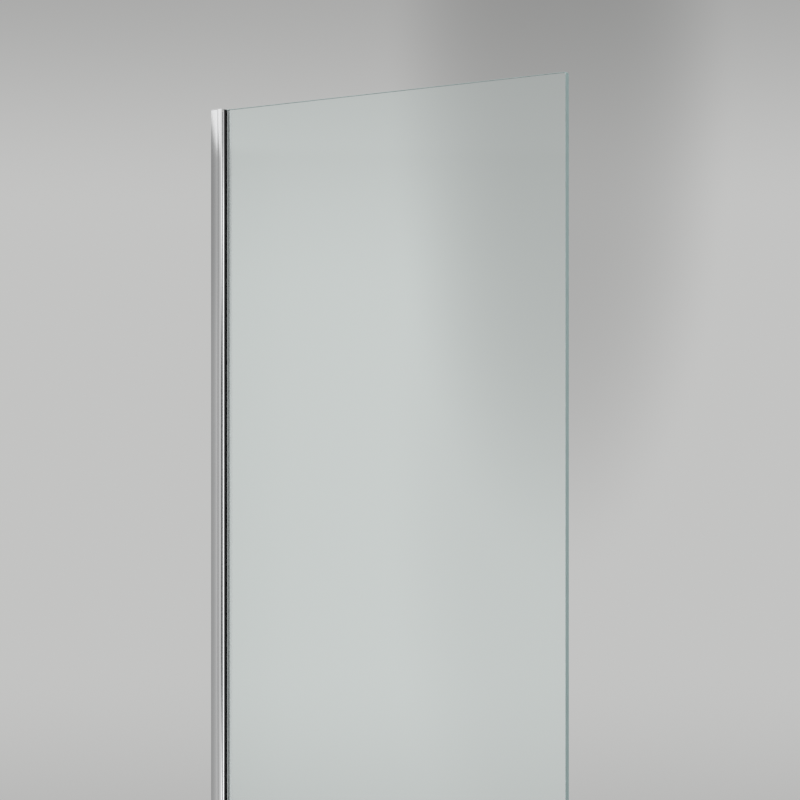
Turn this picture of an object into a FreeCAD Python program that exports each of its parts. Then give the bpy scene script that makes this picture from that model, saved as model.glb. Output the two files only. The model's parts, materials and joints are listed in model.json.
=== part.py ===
"""Pivoting glass bath screen, in millimetres.

The origin is on the wall, at the height of the bath rim, on the middle plane of the glass.
+X runs from the wall to the free edge, -Y is the bathroom side, +Y the bath side and +Z is up.
A wall channel carries a hinge profile that slides out of it. A round socket along the hinge
profile's bathroom corner holds the bead of the glass profile, which grips the pane and swings
outwards about that bead.
"""
import FreeCAD, Part
import math
import os

Vector = FreeCAD.Vector

# ---- overall ----
reach = 800.0                  # wall to the free edge of the glass
height = 1500.0                # bath rim to the top of the cap
rim_gap = 0.3                  # bath rim to the hinge profile's end, so that it can slide

# ---- glass ----
glass_thickness = 8.0
glass_lift = 12.0              # bath rim to the lower edge of the glass
glass_arris = 0.6              # polished bevel along every edge
glass_corner = 4.0             # radius of its four corners

# ---- hinge: bead, liner and socket ----
bead_radius = 2.6
bead_clearance = 0.08
liner_wall = 0.7
liner_seat = 0.05              # play of the liner in its socket
socket_wall = 1.32
neck_thickness = 1.8           # web that joins the bead to the glass profile
neck_clearance = 0.3           # neck to the lips of the socket at both ends of the swing
knuckle_gap = 0.25             # outside of the socket to the glass profile

# ---- glass profile ----
leaf_wall = 1.2
edge_pad = 1.8                 # room for the setting blocks behind the glass edge
glass_grip = 8.65              # how far the pane reaches into the profile
lip_setback = 1.65             # its lips behind the front of the hinge profile
sweep_margin = 0.8             # its rear corner is rounded about the hinge axis

# ---- gaskets ----
gasket_thickness = 1.05        # between glass and metal
gasket_start = 1.3             # edge of the glass to the gaskets
gasket_bend_gap = 0.5          # rounded corner of the glass profile to the inner gasket
gasket_head_width = 2.65       # along the glass, in front of the profile
gasket_head_height = 2.45      # out from the glass
gasket_gap = 0.05              # head to the lips of the profile
inner_gasket_setback = 1.65    # inner gasket behind the lip, out of sight through the glass
grip_groove_count = 3          # along the metal side of the inner gasket
grip_groove_width = 0.5
grip_groove_depth = 0.35

# ---- wall channel ----
channel_depth = 17.0
channel_wall = 1.6
channel_base = 2.0
groove_width = 1.2             # sealant grooves in its back
groove_depth = 0.4
groove_offset = 11.0           # from the middle plane
wall_screw_count = 4
wall_screw_radius = 2.75
wall_screw_margin = 100.0      # from each end

# ---- hinge profile ----
box_clearance = 0.2            # box to each inner face of the channel
box_wall = 1.5
box_back = 4.4                 # wall to the back of the box, which leaves room for screw heads
front_gap = 0.3                # front of the channel to the step of the profile
front_flat = 3.45              # step to the start of the rounded corner
nose_nut_gap = 0.3             # clamp nuts to the nose, at no travel
fin_space = 2.55               # swept circle of the glass profile to the nose

# ---- screw ports of the hinge profile ----
port_radius = 1.45
port_wall = 1.15
port_sink = 0.3                # each port's ring runs into the wall that carries it
port_slot = 1.2                # open side of the ring
port_nut_gap = 1.8             # upper port to the clamp nuts

# ---- side seal ----
slot_mouth = 1.6
slot_lip = 1.0
slot_width = 3.2
slot_depth = 2.0
slot_offset = 5.0              # inner edge of the nose to the middle of the slot
seal_clearance = 0.1           # all round in the slot
fin_thickness = 0.7
fin_rest = 0.3                 # fin to the swept circle of the glass profile
fin_setback = 0.6              # fin's tip behind the lips of the glass profile

# ---- adjusting clamps ----
travel = 4.0                   # how far the hinge profile slides out
clamp_count = 3
clamp_margin = 150.0           # from each end
clamp_radius = 1.5
clamp_hole_play = 0.2
clamp_tail = 0.6               # end of the screw past its nut
clamp_head_radius = 2.8
clamp_head_height = 2.2
clamp_head_bevel = 0.7
nut_width = 5.5
nut_thickness = 2.4
nut_gap = 0.1                  # nut to the side wall of the box
nut_side_gap = 0.2             # nut to the back of the box at full travel
nut_bore_play = 0.05

# ---- screw covers ----
base_radius = 3.1
base_thickness = 0.8
cover_wall = 0.65
cover_play = 0.1               # cap round its base
cover_room = 0.3               # cap over the screw's head
cover_rounding = 1.4
cover_bevel = 0.8              # inside the cap's rim

# ---- ends of the profiles ----
cap_thickness = 1.2
cap_wall_gap = 0.3             # top cap to the wall
cap_chamfer = 0.3
channel_top_gap = 0.2          # channel to the underside of the top cap
leaf_top_gap = 0.3             # glass and its profile to the underside of the top cap
cap_peg_length = 8.0
cap_peg_play = 0.1
lift_stop_length = 5.0
lift_play = 0.5                # bead to the lift stop
block_thickness = 2.2
pad_thickness = 3.5
axial_play = 0.1               # bead and liner above the thrust pad
block_screw_length = 12.0
block_screw_play = 0.05        # screw in its port
block_hole_play = 0.1          # screw in the block
block_head_radius = 2.7
block_head_rim = 0.3

# ---- blocks behind and under the glass ----
setting_block_count = 3
setting_block_length = 60.0
setting_block_margin = 160.0   # end of the profile to the middle of the first block
setting_block_play = 0.2
support_play = 0.05

# ---- bottom seal ----
seal_wall = 1.05
seal_play = 0.05               # to the glass
seal_leg = 12.0                # up each face of the glass
seal_web = 2.05
seal_front_gap = 0.3           # legs to the gasket's head
seal_fin_gap = 0.7             # fins to the front of the hinge profile
seal_end_setback = 1.0         # seal behind the free edge
rim_clearance = 0.6            # sweep fin's tip to the bath rim
sweep_fin_radius = 22.0
sweep_fin_thickness = 0.9
drip_fin_radius = 8.0
drip_fin_thickness = 0.9
drip_fin_turn = 80.0           # degrees

# ---- heights, worked out from the sizes above ----
cap_under = height - cap_thickness
channel_top = cap_under - channel_top_gap
leaf_top = cap_under - leaf_top_gap
stop_under = cap_under - lift_stop_length
bead_top = stop_under - lift_play
liner_top = stop_under - axial_play
block_top = rim_gap + block_thickness
pad_top = block_top + pad_thickness
leaf_foot = pad_top + axial_play

# ---- section, worked out from the sizes above ----
glass_half = glass_thickness / 2
leaf_inner = glass_half + gasket_thickness
leaf_outer = leaf_inner + leaf_wall
liner_inner = bead_radius + bead_clearance
liner_outer = liner_inner + liner_wall
socket_radius = liner_outer + liner_seat
knuckle_radius = socket_radius + socket_wall
profile_half = leaf_outer + knuckle_gap + 2 * knuckle_radius
step_x = channel_depth + front_gap
pivot = (step_x + front_flat, knuckle_radius - profile_half)
pivot_x, pivot_y = pivot
profile_depth = pivot_x + knuckle_radius
mouth = neck_thickness / 2 + neck_clearance
channel_inner = profile_half - channel_wall
box_half = channel_inner - box_clearance
box_inner = box_half - box_wall
box_front = box_back + box_wall
leaf_front = profile_depth - lip_setback
glass_start = leaf_front - glass_grip
pocket_back = glass_start - edge_pad
leaf_back = pocket_back - leaf_wall
sweep_radius = leaf_outer - pivot_y + sweep_margin
pocket_radius = sweep_radius - leaf_wall
gasket_front = leaf_front + gasket_gap + gasket_head_width
nut_face = box_inner - nut_gap - nut_thickness
clamp_x = box_front + travel + nut_side_gap + nut_width / 2
clamp_hole = clamp_radius + clamp_hole_play
nose_back = clamp_x + nut_width / 2 + nose_nut_gap
nose_inner = pivot_y + sweep_radius + fin_space
slot_x = nose_back + slot_offset
slot_floor = nose_inner + slot_lip + slot_depth
port_outer = port_radius + port_wall
port_x = box_front + port_outer - port_sink
port_ys = (port_outer - port_sink - box_inner, nut_face - port_nut_gap - port_outer)


# ---- drawing ----

def in_plan(u, v):
    return Vector(u, v, 0)


def across(u, v):
    """A point of a section that is drawn square to the length of the glass."""
    return Vector(0, u, v)


def upright(u, v):
    return Vector(u, 0, v)


def half_chord(radius, offset):
    """How far a circle reaches on each side of its middle, at this offset from its centre."""
    return math.sqrt(radius ** 2 - offset ** 2)


class Outline:
    """A closed outline of straight lines and arcs, drawn from its starting point."""

    def __init__(self, u, v, place=in_plan):
        self.place = place
        self.start = (u, v)
        self.here = (u, v)
        self.edges = []

    def line(self, u, v):
        self.edges.append(Part.makeLine(self.place(*self.here), self.place(u, v)))
        self.here = (u, v)
        return self

    def arc(self, centre, u, v, clockwise=False):
        """An arc about the centre to a point that is as far from it as the last one."""
        radius = math.dist(centre, self.here)
        first = math.atan2(self.here[1] - centre[1], self.here[0] - centre[0])
        last = math.atan2(v - centre[1], u - centre[0])
        turn = (last - first) % (2 * math.pi)
        if clockwise:
            turn -= 2 * math.pi
        middle = first + turn / 2
        halfway = (centre[0] + radius * math.cos(middle), centre[1] + radius * math.sin(middle))
        points = [self.place(*point) for point in (self.here, halfway, (u, v))]
        self.edges.append(Part.Arc(*points).toShape())
        self.here = (u, v)
        return self

    def face(self):
        if math.dist(self.here, self.start) > 1e-6:
            self.line(*self.start)
        return Part.Face(Part.Wire(self.edges))

    def upwards(self, bottom, top):
        """The solid of a plan outline between two heights."""
        face = self.face()
        face.translate(Vector(0, 0, bottom))
        return face.extrude(Vector(0, 0, top - bottom))


def box(x, y, z):
    """A block from its lowest and highest x, y and z."""
    size = [high - low for low, high in (x, y, z)]
    return Part.makeBox(*size, Vector(x[0], y[0], z[0]))


def rod(radius, centre, bottom, top):
    """An upright cylinder."""
    return Part.makeCylinder(radius, top - bottom, Vector(centre[0], centre[1], bottom))


def spread(count, margin, low=0.0, high=height):
    """Heights of a row of fixings, evenly spread between equal margins at both ends."""
    pitch = (high - low - 2 * margin) / max(count - 1, 1)
    return [low + margin + i * pitch for i in range(count)]


def band(centre, radius, thickness, first, last, place):
    """A curved strip with its middle on a circle, between two angles in degrees."""
    angles = [math.radians(first), math.radians(last)]

    def point(r, angle):
        return centre[0] + r * math.cos(angle), centre[1] + r * math.sin(angle)

    outer, inner = radius + thickness / 2, radius - thickness / 2
    outline = Outline(*point(inner, angles[0]), place)
    outline.line(*point(outer, angles[0]))
    outline.arc(centre, *point(outer, angles[1]))
    outline.line(*point(inner, angles[1]))
    outline.arc(centre, *point(inner, angles[0]), clockwise=True)
    return outline.face()


def repeated(piece, heights):
    """Separate copies of a piece at these heights."""
    copies = []
    for z in heights:
        copy = piece.copy()
        copy.translate(Vector(0, 0, z))
        copies.append(copy)
    return Part.makeCompound(copies)


# ---- wall side ----

def wall_channel():
    """The open channel on the wall, with sealant grooves, wall holes and clamp holes."""
    outline = Outline(0, -profile_half)
    outline.line(channel_depth, -profile_half)
    outline.line(channel_depth, -channel_inner)
    outline.line(channel_base, -channel_inner)
    outline.line(channel_base, channel_inner)
    outline.line(channel_depth, channel_inner)
    outline.line(channel_depth, profile_half)
    outline.line(0, profile_half)
    cuts = []
    for side in (-1, 1):
        middle = side * groove_offset
        y = (middle - groove_width / 2, middle + groove_width / 2)
        cuts.append(box((0, groove_depth), y, (0, channel_top)))
    for z in spread(wall_screw_count, wall_screw_margin):
        start = Vector(0, 0, z)
        cuts.append(Part.makeCylinder(wall_screw_radius, channel_base, start, Vector(1, 0, 0)))
    for z in spread(clamp_count, clamp_margin):
        start = Vector(clamp_x, channel_inner, z)
        cuts.append(Part.makeCylinder(clamp_hole, channel_wall, start, Vector(0, 1, 0)))
    return outline.upwards(0, channel_top).cut(cuts)


def turned_on_clamp(outline):
    """A round piece of an outline in radius and y, turned about a clamp's axis."""
    piece = outline.face().revolve(Vector(0, 0, 0), Vector(0, 1, 0), 360)
    piece.translate(Vector(clamp_x, 0, 0))
    return piece


def clamp_screws():
    """Pan head screws from the bath side, through the channel and the slots into the nuts."""
    seat = profile_half + base_thickness
    crown = seat + clamp_head_height
    outline = Outline(0, nut_face - clamp_tail)
    outline.line(clamp_radius, nut_face - clamp_tail)
    outline.line(clamp_radius, seat)
    outline.line(clamp_head_radius, seat)
    outline.line(clamp_head_radius, crown - clamp_head_bevel)
    outline.line(clamp_head_radius - clamp_head_bevel, crown)
    outline.line(0, crown)
    return repeated(turned_on_clamp(outline), spread(clamp_count, clamp_margin))


def clamp_nuts():
    """Square nuts that pull the hinge profile's side wall against the channel."""
    half = nut_width / 2
    nut = box((clamp_x - half, clamp_x + half), (nut_face, nut_face + nut_thickness), (-half, half))
    start = Vector(clamp_x, nut_face, 0)
    bore = Part.makeCylinder(clamp_radius + nut_bore_play, nut_thickness, start, Vector(0, 1, 0))
    return repeated(nut.cut(bore), spread(clamp_count, clamp_margin))


def cover_bases():
    """Washers under the screws' heads, which the cover caps snap over."""
    outline = Outline(clamp_hole, profile_half)
    outline.line(base_radius, profile_half)
    outline.line(base_radius, profile_half + base_thickness)
    outline.line(clamp_hole, profile_half + base_thickness)
    return repeated(turned_on_clamp(outline), spread(clamp_count, clamp_margin))


def cover_caps():
    """Hollow domed caps over the screws' heads."""
    inner = base_radius + cover_play
    outer = inner + cover_wall
    ceiling = profile_half + base_thickness + clamp_head_height + cover_room
    crown = ceiling + cover_wall
    bend = crown - cover_rounding
    shoulder = outer - cover_rounding
    outline = Outline(inner, profile_half)
    outline.line(outer, profile_half)
    outline.line(outer, bend)
    outline.arc((shoulder, bend), shoulder, crown)
    outline.line(0, crown)
    outline.line(0, ceiling)
    outline.line(inner - cover_bevel, ceiling)
    outline.line(inner, ceiling - cover_bevel)
    return repeated(turned_on_clamp(outline), spread(clamp_count, clamp_margin))


# ---- hinge side ----

def hinge_profile():
    """The box that slides in the channel, with the hinge socket, the nose and two screw ports."""
    left_of_mouth = pivot_x - mouth
    below_mouth = pivot_y - mouth
    lip_outer = half_chord(knuckle_radius, mouth)
    lip_inner = half_chord(socket_radius, mouth)
    slot_half, mouth_half = slot_width / 2, slot_mouth / 2
    slot_ceiling = nose_inner + slot_lip
    outline = Outline(box_back, -box_half)
    outline.line(step_x, -box_half)
    outline.line(step_x, -profile_half)
    outline.line(pivot_x, -profile_half)
    outline.arc(pivot, pivot_x + lip_outer, below_mouth)
    outline.line(pivot_x + lip_inner, below_mouth)
    outline.arc(pivot, left_of_mouth, pivot_y + lip_inner, clockwise=True)
    outline.line(left_of_mouth, pivot_y + lip_outer)
    outline.arc(pivot, pivot_x - half_chord(knuckle_radius, box_inner + pivot_y), -box_inner)
    outline.line(box_front, -box_inner)
    outline.line(box_front, box_inner)
    outline.line(nose_back, box_inner)
    outline.line(nose_back, nose_inner)
    outline.line(slot_x - mouth_half, nose_inner)
    outline.line(slot_x - mouth_half, slot_ceiling)
    outline.line(slot_x - slot_half, slot_ceiling)
    outline.line(slot_x - slot_half, slot_floor)
    outline.line(slot_x + slot_half, slot_floor)
    outline.line(slot_x + slot_half, slot_ceiling)
    outline.line(slot_x + mouth_half, slot_ceiling)
    outline.line(slot_x + mouth_half, nose_inner)
    outline.line(profile_depth, nose_inner)
    outline.line(profile_depth, -pivot_y)
    outline.arc((pivot_x, -pivot_y), pivot_x, profile_half)
    outline.line(step_x, profile_half)
    outline.line(step_x, box_half)
    outline.line(box_back, box_half)
    body = outline.upwards(block_top, cap_under)
    ports = [(port_x, y) for y in port_ys]
    solid_corner = box((box_front, port_x), (-box_inner, port_ys[0]), (block_top, cap_under))
    body = body.fuse([solid_corner] + [rod(port_outer, port, block_top, cap_under) for port in ports])
    cuts = [rod(port_radius, port, block_top, cap_under) for port in ports]
    for x, y in ports:
        slot = (y - port_slot / 2, y + port_slot / 2)
        cuts.append(box((x, x + port_outer), slot, (block_top, cap_under)))
    for z in spread(clamp_count, clamp_margin):
        cuts.append(clamp_slot(z))
    return body.cut(cuts).removeSplitter()


def clamp_slot(z):
    """The slot that lets the hinge profile slide past a clamp screw."""
    ends = (clamp_x - travel, clamp_x)
    slot = box(ends, (box_inner, box_half), (z - clamp_hole, z + clamp_hole))
    starts = [Vector(x, box_inner, z) for x in ends]
    return slot.fuse([Part.makeCylinder(clamp_hole, box_wall, start, Vector(0, 1, 0)) for start in starts])


def hinge_liner():
    """The open sleeve that the bead turns in."""
    outer_lip = half_chord(liner_outer, mouth)
    inner_lip = half_chord(liner_inner, mouth)
    outline = Outline(pivot_x + outer_lip, pivot_y - mouth)
    outline.line(pivot_x + inner_lip, pivot_y - mouth)
    outline.arc(pivot, pivot_x - mouth, pivot_y + inner_lip, clockwise=True)
    outline.line(pivot_x - mouth, pivot_y + outer_lip)
    outline.arc(pivot, pivot_x + outer_lip, pivot_y - mouth)
    return outline.upwards(leaf_foot, liner_top)


def thrust_pad():
    """The disc at the foot of the socket that carries the glass profile."""
    return rod(liner_outer, pivot, block_top, pad_top)


def lift_stop():
    """The plug at the top of the socket that keeps the glass profile from lifting out."""
    return rod(liner_outer, pivot, stop_under, cap_under)


def front_corners(outline):
    """The rounded front of the profiles, from the bathroom side round to the bath side."""
    outline.line(pivot_x, -profile_half)
    outline.arc(pivot, profile_depth, pivot_y)
    outline.line(profile_depth, -pivot_y)
    outline.arc((pivot_x, -pivot_y), pivot_x, profile_half)
    return outline


def block_screw(play=0.0):
    """A countersunk screw with its head at the foot of the bottom block, on the z axis."""
    shank = port_radius - block_screw_play + play
    head = block_head_radius + play
    neck = rim_gap + block_head_rim + head - shank
    outline = Outline(0, rim_gap, upright)
    outline.line(head, rim_gap)
    outline.line(head, rim_gap + block_head_rim)
    outline.line(shank, neck)
    outline.line(shank, rim_gap + block_screw_length)
    outline.line(0, rim_gap + block_screw_length)
    return outline.face().revolve(Vector(0, 0, 0), Vector(0, 0, 1), 360)


def at_ports(piece):
    copies = []
    for y in port_ys:
        copy = piece.copy()
        copy.translate(Vector(port_x, y, 0))
        copies.append(copy)
    return copies


def bottom_block():
    """The end plate under the hinge profile, which carries the thrust pad."""
    outline = Outline(box_back, -box_half)
    outline.line(step_x, -box_half)
    outline.line(step_x, -profile_half)
    front_corners(outline)
    outline.line(step_x, profile_half)
    outline.line(step_x, box_half)
    outline.line(box_back, box_half)
    return outline.upwards(rim_gap, block_top).cut(at_ports(block_screw(block_hole_play)))


def block_screws():
    return Part.makeCompound(at_ports(block_screw()))


def top_cap():
    """The plate over both profiles, with two pegs in the screw ports."""
    outline = front_corners(Outline(cap_wall_gap, -profile_half))
    outline.line(cap_wall_gap, profile_half)
    plate = outline.upwards(cap_under, height)
    rim = [edge for edge in plate.Edges if min(v.Z for v in edge.Vertexes) > height - cap_chamfer]
    plate = plate.makeChamfer(cap_chamfer, rim)
    peg_radius = port_radius - cap_peg_play
    pegs = [rod(peg_radius, (port_x, y), cap_under - cap_peg_length, cap_under) for y in port_ys]
    return plate.fuse(pegs)


def side_seal():
    """The flexible fin that closes the bath side between the nose and the glass profile."""
    head = slot_width / 2 - seal_clearance
    neck = slot_mouth / 2 - seal_clearance
    head_low = nose_inner + slot_lip + seal_clearance
    head_high = slot_floor - seal_clearance
    tip_x = leaf_front - fin_setback
    tip_y = pivot_y + half_chord(sweep_radius + fin_rest, tip_x - pivot_x)
    run_x, run_y = tip_x - (slot_x - neck), tip_y - nose_inner
    run = math.hypot(run_x, run_y)
    outline = Outline(slot_x - neck, nose_inner)
    outline.line(tip_x, tip_y)
    outline.line(tip_x - run_y / run * fin_thickness, tip_y + run_x / run * fin_thickness)
    outline.line(slot_x + neck, nose_inner)
    outline.line(slot_x + neck, head_low)
    outline.line(slot_x + head, head_low)
    outline.line(slot_x + head, head_high)
    outline.line(slot_x - head, head_high)
    outline.line(slot_x - head, head_low)
    outline.line(slot_x - neck, head_low)
    return outline.upwards(block_top, cap_under)


# ---- panel ----

def glass_profile():
    """The swinging profile: its bead, the neck and the pocket that grips the pane."""
    neck = neck_thickness / 2
    bead_join = pivot_y + half_chord(bead_radius, neck)
    inner_bend = pivot_x - half_chord(pocket_radius, leaf_inner - pivot_y)
    outer_bend = pivot_x - half_chord(sweep_radius, leaf_outer - pivot_y)
    outline = Outline(pivot_x + neck, bead_join)
    outline.line(pivot_x + neck, -leaf_outer)
    outline.line(leaf_front, -leaf_outer)
    outline.line(leaf_front, -leaf_inner)
    outline.line(pocket_back, -leaf_inner)
    outline.line(pocket_back, pivot_y + half_chord(pocket_radius, pivot_x - pocket_back))
    outline.arc(pivot, inner_bend, leaf_inner, clockwise=True)
    outline.line(leaf_front, leaf_inner)
    outline.line(leaf_front, leaf_outer)
    outline.line(outer_bend, leaf_outer)
    outline.arc(pivot, leaf_back, pivot_y + half_chord(sweep_radius, pivot_x - leaf_back))
    outline.line(leaf_back, -leaf_outer)
    outline.line(pivot_x - neck, -leaf_outer)
    outline.line(pivot_x - neck, bead_join)
    outline.arc(pivot, pivot_x + neck, bead_join)
    body = outline.upwards(leaf_foot, leaf_top)
    notch_x = (pivot_x - liner_outer, pivot_x + liner_outer)
    notch_y = (pivot_y - liner_outer, pivot_y + socket_radius)
    return body.cut(box(notch_x, notch_y, (bead_top, leaf_top)))


def glass_pane():
    """Toughened pane with rounded corners and a polished bevel round both faces."""
    left, right = glass_start, reach
    low, high = glass_lift, leaf_top
    r = glass_corner
    outline = Outline(left + r, low, upright)
    outline.line(right - r, low)
    outline.arc((right - r, low + r), right, low + r)
    outline.line(right, high - r)
    outline.arc((right - r, high - r), right - r, high)
    outline.line(left + r, high)
    outline.arc((left + r, high - r), left, high - r)
    outline.line(left, low + r)
    outline.arc((left + r, low + r), left + r, low)
    face = outline.face()
    face.translate(Vector(0, -glass_half, 0))
    pane = face.extrude(Vector(0, glass_thickness, 0))
    rims = [edge for edge in pane.Edges if abs(edge.BoundBox.YMax - edge.BoundBox.YMin) < glass_arris]
    return pane.makeChamfer(glass_arris, rims)


def outer_gasket():
    """The strip between pane and profile on the bathroom side, with a rounded head in front."""
    start = glass_start + gasket_start
    head_back = leaf_front + gasket_gap
    head_level = glass_half + gasket_head_height
    bend = gasket_front - gasket_head_height
    outline = Outline(start, -leaf_inner)
    outline.line(head_back, -leaf_inner)
    outline.line(head_back, -head_level)
    outline.line(bend, -head_level)
    outline.arc((bend, -glass_half), gasket_front, -glass_half)
    outline.line(start, -glass_half)
    return outline.upwards(glass_lift, leaf_top)


def inner_gasket():
    """The strip on the bath side, which ends inside the lip and has grip grooves on its metal side."""
    bend = pivot_x - half_chord(pocket_radius, leaf_inner - pivot_y)
    start = max(bend + gasket_bend_gap, glass_start + gasket_start)
    end = leaf_front - inner_gasket_setback
    z = (glass_lift, leaf_top)
    grooves = []
    for i in range(grip_groove_count):
        middle = start + (end - start) * (i + 1) / (grip_groove_count + 1)
        x = (middle - grip_groove_width / 2, middle + grip_groove_width / 2)
        grooves.append(box(x, (leaf_inner - grip_groove_depth, leaf_inner), z))
    return box((start, end), (glass_half, leaf_inner), z).cut(grooves)


def setting_blocks():
    """Blocks between the edge of the pane and the back of the pocket."""
    low = setting_block_play - leaf_inner
    high = pivot_y + half_chord(pocket_radius, pivot_x - pocket_back) - setting_block_play
    half = setting_block_length / 2
    block = box((pocket_back, glass_start), (low, high), (-half, half))
    return repeated(block, spread(setting_block_count, setting_block_margin, leaf_foot, leaf_top))


def support_block():
    """The foot in the pocket that the lower edge of the pane stands on."""
    back = pocket_back + support_play
    side = leaf_inner - support_play
    radius = pocket_radius - support_play
    outline = Outline(back, -side)
    outline.line(leaf_front, -side)
    outline.line(leaf_front, side)
    outline.line(pivot_x - half_chord(radius, side - pivot_y), side)
    outline.arc(pivot, back, pivot_y + half_chord(radius, pivot_x - back))
    return outline.upwards(leaf_foot, glass_lift)


def bottom_seal():
    """The clear strip clipped on the lower edge, with a sweep fin and a drip fin."""
    inner = glass_half + seal_play
    outer = inner + seal_wall
    web_top = glass_lift - seal_play
    web_low = web_top - seal_web
    leg_x = (gasket_front + seal_front_gap, reach - seal_end_setback)
    fin_x = (profile_depth + seal_fin_gap, reach - seal_end_setback)
    legs = [box(leg_x, sorted((side * inner, side * outer)), (web_low, glass_lift + seal_leg))
            for side in (-1, 1)]
    web = box(fin_x, (-outer, outer), (web_low, web_top))
    drop = web_low + seal_web / 2 - rim_clearance
    turn = math.degrees(math.asin(drop / (sweep_fin_radius + sweep_fin_thickness / 2)))
    sweep_centre = (sweep_fin_radius, web_low + seal_web / 2)
    sweep_fin = band(sweep_centre, sweep_fin_radius, sweep_fin_thickness, 180, 180 + turn, across)
    drip_level = web_low + seal_web / 2
    drip_centre = (outer - seal_wall, drip_level - drip_fin_radius)
    drip_fin = band(drip_centre, drip_fin_radius, drip_fin_thickness, 90 - drip_fin_turn, 90, across)
    fins = []
    for face in (sweep_fin, drip_fin):
        face.translate(Vector(fin_x[0], 0, 0))
        fins.append(face.extrude(Vector(fin_x[1] - fin_x[0], 0, 0)))
    return web.fuse(legs + fins).removeSplitter()


pieces = (
    wall_channel, clamp_screws, clamp_nuts, cover_bases, cover_caps,
    hinge_profile, hinge_liner, thrust_pad, lift_stop, bottom_block, block_screws, top_cap, side_seal,
    glass_profile, glass_pane, outer_gasket, inner_gasket, setting_blocks, support_block, bottom_seal,
)

os.makedirs("parts", exist_ok=True)
for piece in pieces:
    shape = piece()
    shape.exportStep(os.path.join("parts", piece.__name__ + ".step"))
    print(piece.__name__, len(shape.Solids), "solids", round(shape.Volume, 1), "mm3", shape.isValid())
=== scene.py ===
"""Looks for a pivoting glass bath screen: polished profiles, toughened glass, gaskets and small fixings.

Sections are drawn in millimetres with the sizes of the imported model, and meshes are made in metres.
"""

import json
import math

import bmesh
import bpy
from mathutils import Matrix, Vector


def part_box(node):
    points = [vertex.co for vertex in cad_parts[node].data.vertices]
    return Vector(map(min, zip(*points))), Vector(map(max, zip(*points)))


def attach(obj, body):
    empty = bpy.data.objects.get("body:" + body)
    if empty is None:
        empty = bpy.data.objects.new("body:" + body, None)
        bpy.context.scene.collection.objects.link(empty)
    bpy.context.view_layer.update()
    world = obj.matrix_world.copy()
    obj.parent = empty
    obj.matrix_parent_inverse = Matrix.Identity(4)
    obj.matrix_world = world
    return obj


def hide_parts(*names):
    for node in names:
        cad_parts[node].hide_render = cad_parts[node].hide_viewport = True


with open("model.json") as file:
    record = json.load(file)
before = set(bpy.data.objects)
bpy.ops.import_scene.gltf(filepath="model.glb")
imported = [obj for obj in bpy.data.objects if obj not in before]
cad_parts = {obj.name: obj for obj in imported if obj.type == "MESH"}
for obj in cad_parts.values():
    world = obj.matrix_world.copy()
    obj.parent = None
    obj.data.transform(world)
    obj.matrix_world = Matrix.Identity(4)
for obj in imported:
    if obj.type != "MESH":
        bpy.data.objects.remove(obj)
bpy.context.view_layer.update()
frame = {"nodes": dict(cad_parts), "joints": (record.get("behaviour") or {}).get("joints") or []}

MM = 0.001


def span(node):
    """Lowest and highest corner of a CAD node, in millimetres."""
    low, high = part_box(node)
    return Vector(low) / MM, Vector(high) / MM


# ---- sizes from the frame ----
channel_low, channel_high = span("wall_channel")
profile_low, profile_high = span("hinge_profile")
leaf_low, leaf_high = span("glass_profile")
pane_low, pane_high = span("glass_pane")
gasket_low, gasket_high = span("outer_gasket")
strip_low, strip_high = span("inner_gasket")
liner_low, liner_high = span("hinge_liner")
seal_low, seal_high = span("side_seal")
sweep_low, sweep_high = span("bottom_seal")
block_low, block_high = span("setting_blocks")
cap_low, cap_high = span("top_cap")
nut_low, nut_high = span("clamp_nuts")
head_low, head_high = span("clamp_screws")
base_low, base_high = span("cover_bases")
cover_low, cover_high = span("cover_caps")
small_low, small_high = span("block_screws")
swing = next(joint for joint in frame["joints"] if joint["name"] == "swing")
pivot_x, pivot_y = (place / MM for place in swing["pos_m"][:2])
pivot = (pivot_x, pivot_y)

# ---- sizes inside the sections, as in the model ----
channel_wall = 1.6
channel_base = 2.0
groove_width = 1.2
groove_depth = 0.4
groove_offset = 11.0
wall_hole_radius = 2.75
wall_hole_count = 4
wall_hole_margin = 100.0
box_clearance = 0.2
box_wall = 1.5
front_gap = 0.3
bead_radius = 2.6
bead_clearance = 0.08
bead_cut = 5.5
liner_wall = 0.7
liner_seat = 0.05
socket_wall = 1.32
neck_thickness = 1.8
neck_clearance = 0.3
leaf_wall = 1.2
edge_pad = 1.8
notch_play = 0.02
gasket_gap = 0.05
glass_arris = 0.6
glass_corner = 4.0
grip_groove_count = 3
grip_groove_width = 0.5
grip_groove_depth = 0.35
port_radius = 1.45
port_wall = 1.15
port_sink = 0.3
port_slot = 1.2
port_nut_gap = 1.8
slot_mouth = 1.6
slot_lip = 1.0
slot_width = 3.2
slot_depth = 2.0
fin_thickness = 0.7
fin_setback = 0.6
seal_clearance = 0.1
nose_nut_gap = 0.3
slot_offset = 5.0
fin_space = 2.55
sweep_margin = 0.8
clamp_count = 3
clamp_margin = 150.0
clamp_radius = 1.5
clamp_hole = 1.7
nut_bore_play = 0.05
cover_play = 0.1
peg_play = 0.1
block_screw_play = 0.05
travel = 4.0
block_count = 3
block_margin = 160.0
block_length = 60.0
seal_wall = 1.05
seal_play = 0.05
seal_web = 2.05
rim_clearance = 0.6
sweep_fin_radius = 22.0
drip_fin_radius = 8.0
drip_fin_turn = 80.0
fin_wall = 0.9

# ---- finish of the edges and curves ----
ARC_STEP = 4.0
CORNER = math.radians(24)
SHARP = math.radians(30)
THREAD_STEPS = 6
SOFT_STEPS = 3
BOW_STEPS = 8
HOLD = 0.03
HELD_RUN = 1.0
GLASS_GAP = 0.03
ROOT_GAP = 0.02

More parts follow.
